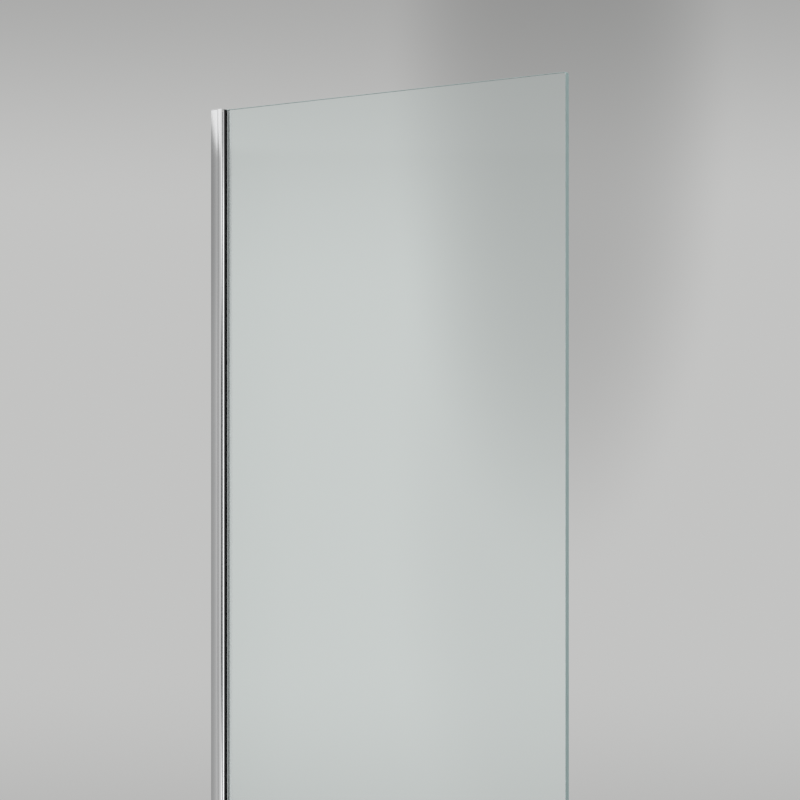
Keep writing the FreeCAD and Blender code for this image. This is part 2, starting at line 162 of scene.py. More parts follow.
# ---- small trim that only the looks have ----
side_crown = 0.02
gasket_cover = 0.6
root_wall = 0.4
root_setback = 0.35
root_bow = 0.25
cap_rounding = 0.45
clamp_pitch = 0.5
clamp_thread = 0.28
clamp_plain = 3.0
block_pitch = 0.7
block_thread = 0.3

# ---- worked out from the sizes above ----
profile_half = channel_high.y
pane_half = pane_high.y
leaf_outer = leaf_high.y
leaf_inner = leaf_outer - leaf_wall
liner_inner = bead_radius + bead_clearance
liner_outer = liner_inner + liner_wall
socket_radius = liner_outer + liner_seat
knuckle_radius = socket_radius + socket_wall
mouth = neck_thickness / 2 + neck_clearance
channel_inner = profile_half - channel_wall
box_half = channel_inner - box_clearance
box_inner = box_half - box_wall
box_back = profile_low.x
box_front = box_back + box_wall
step_x = channel_high.x + front_gap
profile_front = profile_high.x
pocket_back = pane_low.x - edge_pad
sweep_radius = leaf_outer - pivot_y + sweep_margin
pocket_radius = sweep_radius - leaf_wall
clamp_x = (nut_low.x + nut_high.x) / 2
nut_face = nut_low.y
nose_back = nut_high.x + nose_nut_gap
nose_inner = pivot_y + sweep_radius + fin_space
slot_x = nose_back + slot_offset
slot_ceiling = nose_inner + slot_lip
slot_floor = slot_ceiling + slot_depth
port_outer = port_radius + port_wall
port_x = box_front + port_outer - port_sink
port_ys = (port_outer - port_sink - box_inner, nut_face - port_nut_gap - port_outer)
screen_height = cap_high.z


# ---- drawing ----

def half_chord(radius, offset):
    """How far a circle reaches on each side of its middle, at this offset from its centre."""
    return math.sqrt(radius ** 2 - offset ** 2)


class Outline:
    """A closed outline of straight lines and finely stepped arcs."""

    def __init__(self, u, v):
        self.points = [(u, v)]

    def line(self, u, v):
        self.points.append((u, v))
        return self

    def arc(self, centre, u, v, clockwise=False):
        here = self.points[-1]
        radius = math.dist(centre, here)
        first = math.atan2(here[1] - centre[1], here[0] - centre[0])
        turn = (math.atan2(v - centre[1], u - centre[0]) - first) % (2 * math.pi)
        if clockwise:
            turn -= 2 * math.pi
        steps = max(2, round(abs(math.degrees(turn)) / ARC_STEP))
        for i in range(1, steps):
            angle = first + turn * i / steps
            self.points.append((centre[0] + radius * math.cos(angle), centre[1] + radius * math.sin(angle)))
        return self.line(u, v)

    def bow(self, u, v, rise):
        """A very flat curve to a point, which stands out by the rise on its right-hand side."""
        start = Vector(self.points[-1])
        run = Vector((u, v)) - start
        aside = Vector((run.y, -run.x)).normalized() * rise
        for i in range(1, BOW_STEPS):
            t = i / BOW_STEPS
            self.points.append(tuple(start + run * t + aside * 4 * t * (1 - t)))
        return self.line(u, v)


def softened(points, radius):
    """The outline with each real corner replaced by a small curve."""
    loop = [Vector(p) for i, p in enumerate(points) if math.dist(p, points[i - 1]) > 1e-5]
    result = []
    for i, here in enumerate(loop):
        before, after = loop[i - 1] - here, loop[(i + 1) % len(loop)] - here
        turn = math.pi - before.angle(after)
        if turn < CORNER or radius == 0:
            result.append(here)
            continue
        reach = min(radius * math.tan(turn / 2), 0.45 * before.length, 0.45 * after.length)
        a, b = here + before.normalized() * reach, here + after.normalized() * reach
        for k in range(SOFT_STEPS + 1):
            t = k / SOFT_STEPS
            result.append(a * (1 - t) ** 2 + here * (2 * t * (1 - t)) + b * t ** 2)
    return result


def held(loop):
    """The loop with a point close to each end of its longer straight runs, so that they are shaded flat."""
    result = []
    for i, here in enumerate(loop):
        back, ahead = loop[i - 1] - here, loop[(i + 1) % len(loop)] - here
        if back.length > max(HELD_RUN, 2.5 * ahead.length):
            result.append(here + back.normalized() * HOLD)
        result.append(here)
        if ahead.length > max(HELD_RUN, 2.5 * back.length):
            result.append(here + ahead.normalized() * HOLD)
    return result


def inset(loop, distance):
    """The loop drawn inwards by a distance."""
    area = sum(a.x * b.y - b.x * a.y for a, b in zip(loop, loop[1:] + loop[:1])) / 2
    side = 1 if area > 0 else -1
    result = []
    for i, here in enumerate(loop):
        ahead, behind = (loop[(i + 1) % len(loop)] - here).normalized(), (here - loop[i - 1]).normalized()
        normals = [Vector((-d.y, d.x)) * side for d in (behind, ahead)]
        total = normals[0] + normals[1]
        result.append(here + total * (distance / max(1 + normals[0].dot(normals[1]), 0.35)))
    return result


# Where x, y and z come from in a section's two directions and its length.
IN_PLAN = (0, 1, 2)
UPRIGHT = (0, 2, 1)
ACROSS = (2, 0, 1)


def skin(rings, order):
    """A closed mesh through rings of points, each ring a list of points and its level."""
    bm = bmesh.new()
    made = []
    for loop, level in rings:
        places = [Vector([(*p, level)[i] for i in order]) * MM for p in loop]
        made.append([bm.verts.new(place) for place in places])
    for low, high in zip(made, made[1:]):
        for i in range(len(low)):
            j = (i + 1) % len(low)
            bm.faces.new((low[i], low[j], high[j], high[i]))
    bm.faces.new(made[0][::-1])
    bm.faces.new(made[-1])
    return bm


def as_mesh(bm, name):
    bmesh.ops.recalc_face_normals(bm, faces=bm.faces)
    if bm.calc_volume(signed=True) < 0:
        bmesh.ops.reverse_faces(bm, faces=bm.faces)
    mesh = bpy.data.meshes.new(name)
    bm.to_mesh(mesh)
    bm.free()
    return mesh


def prism(name, outline, low, high, order=IN_PLAN, soft=0.2, bevel=0.0):
    """A straight length of a section, with softened corners and, if asked, bevelled ends."""
    loop = held(softened(outline.points, soft))
    rings = [(loop, low), (loop, high)]
    if bevel:
        small = inset(loop, bevel)
        rings = [(small, low), (loop, low + bevel), (loop, high - bevel), (small, high)]
    return as_mesh(skin(rings, order), name)


def box_outline(u0, v0, u1, v1):
    return Outline(u0, v0).line(u1, v0).line(u1, v1).line(u0, v1)


def turned(name, profile, segments=48, thread=None):
    """A mesh turned about z from points of radius and height. A thread winds on part of it.

    Where the last point is the first, it is a ring.
    """
    bm = bmesh.new()
    rings = []
    closing = int(profile[0] == profile[-1])
    for radius, z in profile[closing:]:
        if radius == 0:
            rings.append([bm.verts.new((0, 0, z * MM))])
            continue
        ring = []
        for i in range(segments):
            angle = 2 * math.pi * i / segments
            r = radius
            if thread and thread["from"] < z < thread["to"]:
                turn = (z / thread["pitch"] - i / segments) % 1
                r = radius - thread["depth"] * (1 - abs(2 * turn - 1))
            ring.append(bm.verts.new((r * MM * math.cos(angle), r * MM * math.sin(angle), z * MM)))
        rings.append(ring)
    for low, high in zip(rings, rings[1:] + rings[:closing]):
        for i in range(segments):
            j = (i + 1) % segments
            corners = [low[i % len(low)], low[j % len(low)], high[j % len(high)], high[i % len(high)]]
            bm.faces.new(list(dict.fromkeys(corners)))
    return as_mesh(bm, name)


def drill(radius, low, high, segments=48):
    return turned("drill", [(0, low), (radius, low), (radius, high), (0, high)], segments)


def moved(mesh, x, y, z, angle=0.0, axis="X"):
    """The mesh turned about an axis through the origin, then moved by millimetres."""
    place = Matrix.Translation((x * MM, y * MM, z * MM))
    mesh.transform(place @ Matrix.Rotation(math.radians(angle), 4, axis))
    return mesh


def spread(count, margin):
    """Heights of a row of fixings between equal margins at both ends, in millimetres."""
    return [margin + (screen_height - 2 * margin) * i / (count - 1) for i in range(count)]


# ---- objects ----


def new_object(name, data):
    obj = bpy.data.objects.new(name, data)
    bpy.context.scene.collection.objects.link(obj)
    return obj


def applied(obj):
    """The object's mesh with its modifiers in it, and the modifiers gone."""
    graph = bpy.context.evaluated_depsgraph_get()
    mesh = bpy.data.meshes.new_from_object(obj.evaluated_get(graph))
    obj.modifiers.clear()
    obj.data = mesh
    return mesh


def carve(mesh, cutters):
    """The mesh with these cutter meshes taken out of it."""
    body = new_object("to_carve", mesh)
    tools = [new_object("cutter", cutter) for cutter in cutters]
    for tool in tools:
        cut = body.modifiers.new("cut", "BOOLEAN")
        cut.operation = "DIFFERENCE"
        cut.solver = "EXACT"
        cut.object = tool
    result = applied(body)
    for obj in [body] + tools:
        bpy.data.objects.remove(obj)
    return result


def rounded_look(mesh):
    """Smooth shading that stops at real edges."""
    mesh.shade_smooth()
    mesh.set_sharp_from_angle(angle=SHARP)


def piece(name, mesh, finish, body, node):
    """A finished piece that stands for its CAD node."""
    rounded_look(mesh)
    mesh.materials.clear()
    mesh.materials.append(materials[finish])
    obj = new_object(name, mesh)
    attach(obj, body)
    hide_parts(node)
    return obj


def socket(group, name, kind, direction="INPUT", default=None):
    made = group.interface.new_socket(name, in_out=direction, socket_type=kind)
    if default is not None:
        made.default_value = default
    return made


def row_tree():
    """Repeats the piece it is put on along a straight line."""
    tree = bpy.data.node_groups.new("row_of_fixings", "GeometryNodeTree")
    for title, kind in (("Piece", "Geometry"), ("Count", "Int"), ("Start", "Vector"),
                        ("Step", "Vector"), ("Finish", "Material")):
        socket(tree, title, "NodeSocket" + kind)
    socket(tree, "Row", "NodeSocketGeometry", "OUTPUT")
    given, result, line, copies, real, paint = [tree.nodes.new(kind) for kind in (
        "NodeGroupInput", "NodeGroupOutput", "GeometryNodeMeshLine", "GeometryNodeInstanceOnPoints",
        "GeometryNodeRealizeInstances", "GeometryNodeSetMaterial")]
    line.mode = "OFFSET"
    for start, output, end, title in (
            (given, "Count", line, "Count"), (given, "Start", line, "Start Location"),
            (given, "Step", line, "Offset"), (line, "Mesh", copies, "Points"),
            (given, "Piece", copies, "Instance"), (copies, "Instances", real, "Geometry"),
            (real, "Geometry", paint, "Geometry"), (given, "Finish", paint, "Material"),
            (paint, "Geometry", result, "Row")):
        tree.links.new(start.outputs[output], end.inputs[title])
    return tree


row_of_fixings = row_tree()


def row(mesh, count, start, step, finish):
    """A mesh repeated along a line, as one plain mesh. Places are in millimetres."""
    rounded_look(mesh)
    obj = new_object("row", mesh)
    modifier = obj.modifiers.new("row", "NODES")
    modifier.node_group = row_of_fixings
    values = {
        "Count": count,
        "Start": tuple(Vector(start) * MM),
        "Step": tuple(Vector(step) * MM),
        "Finish": materials[finish],
    }
    for item in row_of_fixings.interface.items_tree:
        if item.name in values and item.in_out == "INPUT":
            modifier[item.identifier] = values[item.name]
    result = applied(obj)
    bpy.data.objects.remove(obj)
    return result


# ---- shader helpers ----

def put(tree, entry, value):
    """Links a node's output to a socket, or writes a plain value there."""
    if isinstance(value, bpy.types.NodeSocket):
        tree.links.new(value, entry)
    else:
        entry.default_value = value


def fill(tree, node, **values):
    """Puts values into a node's sockets by their names, in which _ stands for a space."""
    for name, value in values.items():
        put(tree, node.inputs[name.replace("_", " ")], value)
    return node


def new_node(tree, kind, **values):
    return fill(tree, tree.nodes.new("ShaderNode" + kind), **values)


def calc(tree, operation, *values):
    node = new_node(tree, "Math")
    node.operation = operation
    for entry, value in zip(node.inputs, values):
        put(tree, entry, value)
    return node.outputs[0]


def times(tree, a, b):
    return calc(tree, "MULTIPLY", a, b)


def rest(tree, value):
    """What is left of 1 when the value is taken off."""
    return calc(tree, "SUBTRACT", 1.0, value)


def ease(tree, value, start, end):
    """0 before the start and 1 after the end, smooth in between."""
    node = new_node(tree, "MapRange", Value=value, From_Min=start, From_Max=end)
    node.interpolation_type = "SMOOTHSTEP"
    return node.outputs["Result"]


def mix(tree, kind, first, factor, a, b):
    """A mix node of this kind, whose pair of inputs starts at this number."""
    node = new_node(tree, "Mix")
    node.data_type = kind
    for index, value in ((0, factor), (first, a), (first + 1, b)):
        put(tree, node.inputs[index], value)
    return node


def blend_values(tree, factor, a, b):
    return mix(tree, "FLOAT", 2, factor, a, b).outputs[0]


def blend_colours(tree, factor, a, b, mode="MIX"):
    node = mix(tree, "RGBA", 6, factor, a, b)
    node.blend_type = mode
    return node.outputs[2]


def mottled(tree, mask, dark, light, gloss):
    """A colour and a roughness that both go from one value to the other with the mask."""
    colour = blend_colours(tree, mask, (*dark, 1), (*light, 1))
    return colour, blend_values(tree, mask, *gloss)


def noise(tree, vector, scale, detail=4.0, roughness=0.55):
    node = new_node(tree, "TexNoise", Vector=vector, Scale=scale, Detail=detail, Roughness=roughness)
    return node.outputs["Fac"]


def stretched(tree, vector, scale):
    return new_node(tree, "Mapping", Vector=vector, Scale=scale).outputs["Vector"]


def place_of(tree):
    return new_node(tree, "TexCoord").outputs["Object"]


def placed(tree, name, **values):
    """One of the shader groups in a material, with its own values."""
    node = new_node(tree, "Group")
    node.node_tree = groups[name]
    return fill(tree, node, Place=place_of(tree), **values).outputs


def shader_group(name, inputs, outputs):
    group = bpy.data.node_groups.new(name, "ShaderNodeTree")
    socket(group, "Place", "NodeSocketVector")
    for title, default in inputs.items():
        socket(group, title, "NodeSocketFloat", default=default)
    for title in outputs:
        socket(group, title, "NodeSocketFloat", "OUTPUT")
    return group, group.nodes.new("NodeGroupInput").outputs, group.nodes.new("NodeGroupOutput")


def lines_group(name, layers, slow_scale):
    """Faint lines along the length of an extrusion, in layers, with a slow waviness."""
    group, given, result = shader_group(name, {"Lines": 1.0, "Waves": 1.0}, ("Height", "Streaks"))
    streaks = 0.0
    for scale, detail, roughness, share in layers:
        layer = noise(group, stretched(group, given["Place"], scale), 1.0, detail, roughness)
        streaks = calc(group, "MULTIPLY_ADD", layer, share, streaks)
    slow = noise(group, stretched(group, given["Place"], slow_scale), 1.0, 1.0, 0.4)
    height = calc(group, "MULTIPLY_ADD", slow, given["Waves"], times(group, streaks, given["Lines"]))
    fill(group, result, Height=height, Streaks=streaks)
    return group


def drawn_lines_group():
    """Lines that run along z, as on the upright profiles."""
    layers = (((2600, 2600, 1.2), 3.0, 0.6, 0.55), ((420, 420, 0.6), 2.0, 0.5, 0.45))
    return lines_group("drawn_lines", layers, (14, 14, 3.0))


def long_lines_group():
    """Lines that run along x, as on the seal under the pane."""
    return lines_group("long_lines", (((1.5, 1900, 1900), 3.0, 0.6, 1.0),), (9.0, 60, 60))


def fine_grain_group():
    """The small grain of moulded and rubber surfaces."""
    group, given, result = shader_group("fine_grain", {"Size": 900.0}, ("Height", "Patches"))
    fill(group, result, Height=noise(group, given["Place"], given["Size"], 5.0, 0.5),
         Patches=noise(group, given["Place"], 22.0, 3.0))
    return group


def handling_group():
    """Soft smears and a few water marks, which only change the gloss."""
    group, given, result = shader_group("handling", {"Amount": 1.0}, ("Marks", "Spots"))
    smears = ease(group, noise(group, stretched(group, given["Place"], (7, 7, 2.4)), 1.0, 4.0), 0.48, 0.72)
    cells = new_node(group, "TexVoronoi", Vector=given["Place"], Scale=130.0)
    rings = rest(group, ease(group, cells.outputs["Distance"], 0.05, 0.16))
    few = ease(group, noise(group, given["Place"], 9.0, 2.0), 0.56, 0.66)
    fill(group, result, Marks=times(group, smears, given["Amount"]),
         Spots=times(group, times(group, rings, few), given["Amount"]))
    return group


def worn_edge_group():
    """Where edges are rubbed brighter, found from the turn of a softened normal."""
    group, given, result = shader_group("worn_edges", {"Reach": 0.0004}, ("Edge",))
    soft = new_node(group, "Bevel", Radius=given["Reach"])
    soft.samples = 4
    turn = new_node(group, "VectorMath")
    turn.operation = "DOT_PRODUCT"
    put(group, turn.inputs[0], soft.outputs["Normal"])
    put(group, turn.inputs[1], new_node(group, "NewGeometry").outputs["Normal"])
    edge = rest(group, ease(group, turn.outputs["Value"], 0.80, 0.995))
    broken = ease(group, noise(group, given["Place"], 160.0, 3.0), 0.35, 0.7)
    fill(group, result, Edge=times(group, edge, broken))
    return group


groups = {
    "lines": drawn_lines_group(),
    "long_lines": long_lines_group(),
    "grain": fine_grain_group(),
    "handling": handling_group(),
    "edges": worn_edge_group(),
}


def painted(paint):
    """A new material whose look comes from the function of the same name."""
    material = bpy.data.materials.new(paint.__name__)
    material.use_nodes = True
    tree = material.node_tree
    paint(tree, tree.nodes["Principled BSDF"])
    return material


def bumped(tree, shader, height, strength, distance=0.0002):
    node = new_node(tree, "Bump", Height=height, Strength=strength, Distance=distance)
    fill(tree, shader, Normal=node.outputs["Normal"])


# ---- materials ----

def polished_aluminium(tree, shader):
    """Bright polished and anodised extrusion: almost a mirror, with fine lines along its length."""
    lines = placed(tree, "lines", Lines=1.0, Waves=2.0)
    marks = placed(tree, "handling", Amount=1.0)
    edges = placed(tree, "edges", Reach=0.0003)
    base, gloss = mottled(
        tree, lines["Streaks"], (0.865, 0.868, 0.872), (0.915, 0.917, 0.92), (0.015, 0.035))
    worn = blend_colours(tree, times(tree, edges["Edge"], 0.5), base, (0.95, 0.95, 0.95, 1))
    smeared = calc(tree, "ADD", gloss, times(tree, marks["Marks"], 0.03))
    spotted = calc(tree, "ADD", smeared, times(tree, marks["Spots"], 0.10))
    fill(tree, shader, Metallic=1.0, Base_Color=worn, Roughness=spotted)
    bumped(tree, shader, lines["Height"], 0.03)


def chrome_look_plastic(tree, shader):
    """Plated mouldings, slightly softer and warmer than the profiles."""
    grain = placed(tree, "grain", Size=260.0)
    marks = placed(tree, "handling", Amount=1.0)
    edges = placed(tree, "edges", Reach=0.0004)
    base, gloss = mottled(
        tree, grain["Patches"], (0.77, 0.772, 0.775), (0.84, 0.838, 0.835), (0.06, 0.11))
    worn = blend_colours(tree, times(tree, edges["Edge"], 0.4), base, (0.92, 0.92, 0.92, 1))
    spotted = calc(tree, "ADD", gloss, times(tree, marks["Spots"], 0.12))
    fill(tree, shader, Metallic=1.0, Base_Color=worn, Roughness=spotted)
    bumped(tree, shader, grain["Height"], 0.02)


def toughened_glass(tree, shader):
    """Clear float glass with a faint green cast and the slow roller waves of toughening."""
    fill(tree, shader, Base_Color=(0.945, 0.995, 0.985, 1), Roughness=0.0,
         Transmission_Weight=1.0, IOR=1.52)
    waves = noise(tree, stretched(tree, place_of(tree), (1.2, 1.2, 4.5)), 1.0, 1.0, 0.3)
    bumped(tree, shader, waves, 0.02, 0.002)


def ground_glass_edge(tree, shader):
    """The fine-ground and polished edges of the pane, where its green shows."""
    grain = placed(tree, "grain", Size=700.0)
    tone, gloss = mottled(tree, grain["Patches"], (0.38, 0.52, 0.51), (0.46, 0.60, 0.59), (0.16, 0.26))
    fill(tree, shader, Base_Color=tone, Roughness=gloss, Transmission_Weight=0.3, IOR=1.52)
    bumped(tree, shader, grain["Height"], 0.05)


def black_rubber(tree, shader):
    """Matt black gasket rubber with a fine grain and a little dust."""
    grain = placed(tree, "grain", Size=1400.0)
    marks = placed(tree, "handling", Amount=1.0)
    dusty = blend_colours(tree, times(tree, marks["Marks"], 0.35),
                          (0.006, 0.006, 0.0065, 1), (0.016, 0.016, 0.0165, 1))
    fill(tree, shader, Base_Color=dusty, Roughness=blend_values(tree, grain["Patches"], 0.42, 0.58),
         Specular_IOR_Level=0.25)
    bumped(tree, shader, grain["Height"], 0.12)


def white_nylon(tree, shader):
    """Off-white moulded nylon, slightly uneven and slightly shiny."""
    grain = placed(tree, "grain", Size=1100.0)
    tone, gloss = mottled(tree, grain["Patches"], (0.78, 0.78, 0.755), (0.86, 0.86, 0.845), (0.34, 0.5))
    fill(tree, shader, Base_Color=tone, Roughness=gloss,
         Subsurface_Weight=0.08, Subsurface_Radius=(0.002, 0.002, 0.0018))
    bumped(tree, shader, grain["Height"], 0.10)


def seal_pvc(tree, shader, lines_name, clearness):
    """Flexible PVC with fine lines from extrusion, from milky to almost clear."""
    lines = placed(tree, lines_name, Lines=1.0, Waves=2.0)
    tone, gloss = mottled(tree, lines["Streaks"], (0.88, 0.905, 0.91), (0.96, 0.97, 0.975), (0.10, 0.22))
    fill(tree, shader, Base_Color=tone, Roughness=gloss, Transmission_Weight=clearness, IOR=1.53)
    bumped(tree, shader, lines["Height"], 0.08)


def clear_pvc(tree, shader):
    """The strip under the pane, which the light passes through."""
    seal_pvc(tree, shader, "long_lines", 0.6)


def milky_pvc(tree, shader):
    """The soft fin beside the leaf, hazier than the strip under the pane."""
    seal_pvc(tree, shader, "lines", 0.1)


def screw_steel(tree, shader):
    """Stainless steel with the fine turning marks of small fasteners."""
    grain = placed(tree, "grain", Size=2400.0)
    edges = placed(tree, "edges", Reach=0.0002)
    tone = blend_colours(tree, grain["Patches"], (0.53, 0.525, 0.52, 1), (0.64, 0.635, 0.63, 1))
    worn = blend_colours(tree, edges["Edge"], tone, (0.78, 0.775, 0.77, 1))
    gloss = blend_values(tree, grain["Height"], 0.18, 0.34)
    fill(tree, shader, Metallic=1.0, Base_Color=worn, Roughness=gloss)
    bumped(tree, shader, grain["Height"], 0.10)


materials = {paint.__name__: painted(paint) for paint in (
    polished_aluminium, chrome_look_plastic, toughened_glass, ground_glass_edge, black_rubber,
    white_nylon, clear_pvc, milky_pvc, screw_steel)}


# ---- wall side ----

def wall_channel():
    """The open channel on the wall. Its two outer faces are very slightly bowed, as drawn metal is."""
    front = channel_high.x
    face = profile_half - side_crown
    shape = Outline(0, -face).bow(front, -face, side_crown)
    shape.line(front, -channel_inner).line(channel_base, -channel_inner)
    shape.line(channel_base, channel_inner).line(front, channel_inner).line(front, face)
    shape.bow(0, face, side_crown)
    for side in (1, -1):
        first = side * groove_offset + groove_width / 2
        last = first - groove_width
        shape.line(0, first).line(groove_depth, first).line(groove_depth, last).line(0, last)
    mesh = prism("wall_channel", shape, channel_low.z, channel_high.z, soft=0.25, bevel=0.15)
    holes = [moved(drill(wall_hole_radius, -1, 3), 0, 0, z, 90, "Y")
             for z in spread(wall_hole_count, wall_hole_margin)]
    holes += [moved(drill(clamp_hole, -1, 3), clamp_x, channel_inner, z, -90)
              for z in spread(clamp_count, clamp_margin)]
    piece("wall_channel_drawn", carve(mesh, holes), "polished_aluminium", "wall_side", "wall_channel")


def cross_cutter(size, width, depth, top):
    """A tapered cross, for the recess of a screw whose head faces up to this height."""
    rings = []
    for level, share in ((top + 0.2, 1.0), (top - depth, 0.45)):
        a, b = size * share, width / 2 * (0.6 + 0.4 * share)
        corners = [(a, -b), (a, b), (b, b), (b, a), (-b, a), (-b, b), (-a, b), (-a, -b),
                   (-b, -b), (-b, -a), (b, -a), (b, -b)]
        rings.append((corners, level))
    return as_mesh(skin(rings, IN_PLAN), "cross")


def threaded(radius, low, high, pitch):
    """Points of radius and height up a threaded shank, without the one at its low end."""
    count = math.ceil((high - low) / (pitch / THREAD_STEPS))
    return [(radius, low + (high - low) * i / count) for i in range(1, count + 1)]


def pan_head_screw():
    """A clamp screw, tip down, with its head's seat and crown at the height the frame gives."""
    low, high = head_low.y, head_high.y
    seat = base_high.y
    radius = (head_high.x - head_low.x) / 2
    end = seat - clamp_plain
    shape = [(0, low), (clamp_radius * 0.7, low)] + threaded(clamp_radius, low, end, clamp_pitch)
    shape += [(clamp_radius, end + 0.1), (clamp_radius, seat), (radius * 0.96, seat), (radius, seat + 0.15)]
    rise = high - seat
    for step in range(7):
        angle = math.radians(15 * step)
        shape.append((radius * math.cos(angle) ** 0.6, seat + rise * (0.3 + 0.7 * math.sin(angle))))
    shape[-1] = (0, high)
    thread = {"from": low + 0.3, "to": end, "pitch": clamp_pitch, "depth": clamp_thread}
    screw = turned("pan_head_screw", shape, 48, thread)
    return carve(screw, [cross_cutter(1.7, 0.75, 1.3, high)])


def clamp_row(name, mesh, finish, node):
    """Turns a fixing drawn up the z axis into the clamp's direction, and repeats it up the channel."""
    first, second = spread(clamp_count, clamp_margin)[:2]
    made = row(moved(mesh, clamp_x, 0, 0, -90), clamp_count, (0, 0, first), (0, 0, second - first), finish)
    piece(name, made, finish, "wall_side", node)


def clamp_fixings():
    """Screws, square nuts, washers and snap-on caps."""
    clamp_row("clamp_screws_cut", pan_head_screw(), "screw_steel", "clamp_screws")
    half = (nut_high.x - nut_low.x) / 2
    nut = prism("nut", box_outline(-half, -half, half, half), nut_low.y, nut_high.y, soft=0.5, bevel=0.25)
    bore = drill(clamp_radius + nut_bore_play, nut_low.y - 1, nut_high.y + 1, 32)
    clamp_row("clamp_nuts_pressed", carve(nut, [bore]), "screw_steel", "clamp_nuts")
    low, high = base_low.y, base_high.y
    radius = (base_high.x - base_low.x) / 2
    ring = [(clamp_hole, low), (radius - 0.1, low), (radius, low + 0.1), (radius, high - 0.15),
            (radius - 0.15, high), (clamp_hole + 0.1, high), (clamp_hole, high - 0.1), (clamp_hole, low)]
    clamp_row("cover_bases_moulded", turned("base", ring, 64), "white_nylon", "cover_bases")
    clamp_row("cover_caps_moulded", cover_cap(radius), "chrome_look_plastic", "cover_caps")


def cover_cap(base_radius):
    """A hollow cap with a slightly domed top and a soft shoulder."""
    outer = (cover_high.x - cover_low.x) / 2
    inner = base_radius + cover_play
    low, high = cover_low.y, cover_high.y
    bend = 1.5
    ceiling = high - outer + inner
    shape = [(0, ceiling), (inner - 0.8, ceiling), (inner, ceiling - 0.8), (inner, low),
             (outer - 0.08, low), (outer, low + 0.08)]
    for step in range(9):
        angle = math.radians(11.25 * step)
        shape.append((outer - bend + bend * math.cos(angle), high - 0.12 - bend + bend * math.sin(angle)))
    shape += [((outer - bend) * 0.5, high - 0.03), (0, high)]
    return turned("cover_cap", shape, 64)


# ---- hinge side ----

def port_bore(shape, y):
    """The slotted bore of a screw port and its upper side, drawn from where the port's ring starts."""
    reach, inner = half_chord(port_outer, port_slot / 2), half_chord(port_radius, port_slot / 2)
    shape.arc((port_x, y), port_x + reach, y - port_slot / 2)
    shape.line(port_x + inner, y - port_slot / 2)
    shape.arc((port_x, y), port_x + inner, y + port_slot / 2, clockwise=True)
    shape.line(port_x + reach, y + port_slot / 2)
    shape.arc((port_x, y), box_front, y + half_chord(port_outer, port_x - box_front))


def hinge_profile():
    """The sliding box with the round hinge socket, the nose and two screw ports."""
    left, below = pivot_x - mouth, pivot_y - mouth
    lip_outer, lip_inner = half_chord(knuckle_radius, mouth), half_chord(socket_radius, mouth)
    slot_half, mouth_half = slot_width / 2, slot_mouth / 2
    shape = Outline(box_back, -box_half)
    shape.line(step_x, -box_half).line(step_x, -profile_half).line(pivot_x, -profile_half)
    shape.arc(pivot, pivot_x + lip_outer, below)
    shape.line(pivot_x + lip_inner, below)
    shape.arc(pivot, left, pivot_y + lip_inner, clockwise=True)
    shape.line(left, pivot_y + lip_outer)
    shape.arc(pivot, pivot_x - half_chord(knuckle_radius, box_inner + pivot_y), -box_inner)
    low_port, high_port = port_ys
    shape.line(port_x + half_chord(port_outer, low_port + box_inner), -box_inner)
    port_bore(shape, low_port)
    shape.line(box_front, high_port - half_chord(port_outer, port_x - box_front))
    port_bore(shape, high_port)
    shape.line(box_front, box_inner)
    shape.line(nose_back, box_inner).line(nose_back, nose_inner)
    seal_slot = ((mouth_half, nose_inner), (mouth_half, slot_ceiling),
                 (slot_half, slot_ceiling), (slot_half, slot_floor))
    for aside, level in seal_slot:
        shape.line(slot_x - aside, level)
    for aside, level in reversed(seal_slot):
        shape.line(slot_x + aside, level)
    shape.line(profile_front, nose_inner).line(profile_front, -pivot_y)
    shape.arc((pivot_x, -pivot_y), pivot_x, profile_half)
    shape.line(step_x, profile_half).line(step_x, box_half).line(box_back, box_half)
    mesh = prism("hinge_profile", shape, profile_low.z, profile_high.z, soft=0.22)
    cutters = []
    for z in spread(clamp_count, clamp_margin):
        ends = (clamp_x - travel, clamp_x)
        slot_shape = Outline(ends[0], z - clamp_hole).line(ends[1], z - clamp_hole)
        slot_shape.arc((ends[1], z), ends[1], z + clamp_hole).line(ends[0], z + clamp_hole)
        slot_shape.arc((ends[0], z), ends[0], z - clamp_hole)
        cutters.append(prism("slot", slot_shape, box_inner - 0.5, box_half + 0.5, UPRIGHT, soft=0))
    piece("hinge_profile_drawn", carve(mesh, cutters), "polished_aluminium", "hinge_side", "hinge_profile")


def hinge_liner():
    outer_lip, inner_lip = half_chord(liner_outer, mouth), half_chord(liner_inner, mouth)
    shape = Outline(pivot_x + outer_lip, pivot_y - mouth).line(pivot_x + inner_lip, pivot_y - mouth)
    shape.arc(pivot, pivot_x - mouth, pivot_y + inner_lip, clockwise=True)
    shape.line(pivot_x - mouth, pivot_y + outer_lip)
    shape.arc(pivot, pivot_x + outer_lip, pivot_y - mouth)
    mesh = prism("hinge_liner", shape, liner_low.z, liner_high.z, soft=0.1)
    piece("hinge_liner_sleeve", mesh, "white_nylon", "hinge_side", "hinge_liner")


